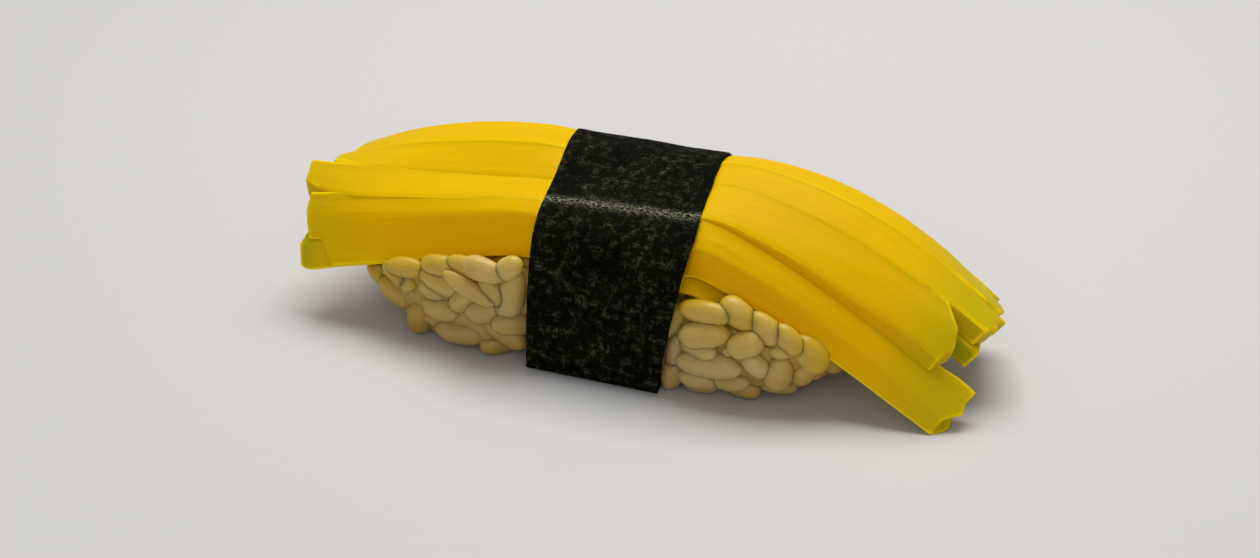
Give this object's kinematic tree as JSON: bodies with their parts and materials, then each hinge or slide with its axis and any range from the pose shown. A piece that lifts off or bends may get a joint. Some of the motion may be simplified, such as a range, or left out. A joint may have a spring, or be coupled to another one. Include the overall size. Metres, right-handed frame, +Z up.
{
  "type": "pickled radish nigiri",
  "caption": "Nigiri sushi: long pickled radish strips laid over a pressed block of rice, overhanging and drooping at both ends, with a nori band wrapped round the middle.",
  "frame": {"origin": "centre of the overall bounding box, on the ground under the block of rice", "axes": "+X along the strips towards the end where the front strip droops lowest, -Y towards the front side, +Z up"},
  "size_m": [0.082, 0.0284, 0.022],
  "materials": {
    "radish": "wet, slightly translucent yellow pickle",
    "cooked_rice": "moist, translucent off-white grains",
    "nori": "crisp dried seaweed sheet, half glossy"
  },
  "bodies": {
    "root": {"strip_front": "radish", "strip_middle": "radish", "strip_ridge": "radish", "strip_crest": "radish", "strip_back": "radish", "strip_under_front": "radish", "strip_under_ridge": "radish", "rice": "cooked_rice", "nori_band": "nori"}
  },
  "joints": []
}
